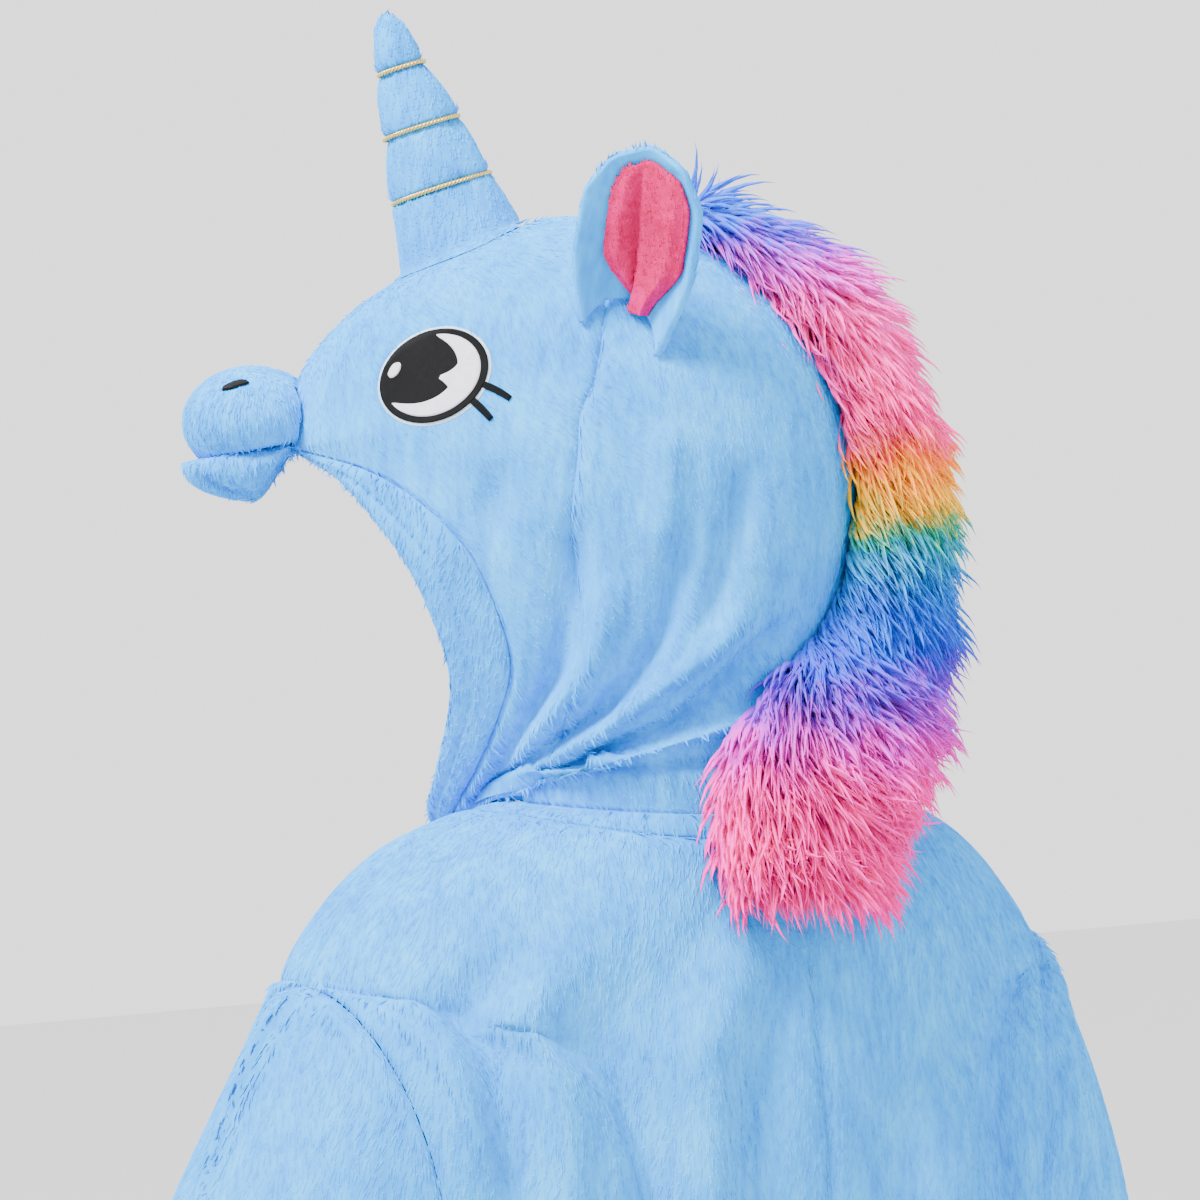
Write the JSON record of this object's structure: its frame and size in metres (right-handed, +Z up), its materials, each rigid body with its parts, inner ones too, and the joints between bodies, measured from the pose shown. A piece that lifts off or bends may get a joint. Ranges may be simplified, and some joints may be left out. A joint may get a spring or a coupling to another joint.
{
  "type": "child's hooded unicorn onesie",
  "caption": "Hollow plush onesie with long sleeves and legs, buttoned front and a hood shaped as a horse's head with horn, ears, muzzle and a fur mane.",
  "frame": {"origin": "middle of the neck seam, where the garment hangs from the wearer's neck and shoulders", "axes": "+Z up, -Y to the wearer's front, +X to the wearer's left"},
  "size_m": [0.5719, 0.2932, 1.3716],
  "materials": {
    "plush_blue": "short pile plush",
    "plush_pink": "short pile plush",
    "eye_black": "satin stitch embroidery",
    "eye_white": "satin stitch embroidery",
    "gold_cord": "metallic thread cord",
    "rainbow_fur": "long pile fur in bands of rainbow colours",
    "button_blue": "moulded"
  },
  "bodies": {
    "root": {"back_left": "plush_blue", "back_right": "plush_blue", "front_left": "plush_blue", "front_right": "plush_blue", "sleeve_left": "plush_blue", "sleeve_right": "plush_blue", "cuff_left": "plush_blue", "cuff_right": "plush_blue", "ankle_cuff_left": "plush_blue", "ankle_cuff_right": "plush_blue", "neck_band": "plush_blue", "placket": "plush_blue", "hood_back_left": "plush_blue", "hood_back_right": "plush_blue", "hood_front_left": "plush_blue", "hood_front_right": "plush_blue", "face_band": "plush_blue", "ear_outer_left": "plush_blue", "ear_outer_right": "plush_blue", "button_1": "button_blue", "button_2": "button_blue", "button_3": "button_blue", "button_4": "button_blue", "button_5": "button_blue", "ear_inner_left": "plush_pink", "ear_inner_right": "plush_pink", "horn": "plush_blue", "muzzle_upper": "plush_blue", "muzzle_lower": "plush_blue", "horn_cord_1": "gold_cord", "horn_cord_2": "gold_cord", "horn_cord_3": "gold_cord", "nostril_left": "eye_black", "eye_left": "eye_black", "lash_upper_left": "eye_black", "lash_lower_left": "eye_black", "eye_white_left": "eye_white", "eye_glint_left": "eye_white", "nostril_right": "eye_black", "eye_right": "eye_black", "lash_upper_right": "eye_black", "lash_lower_right": "eye_black", "eye_white_right": "eye_white", "eye_glint_right": "eye_white", "mane": "rainbow_fur"}
  },
  "joints": []
}
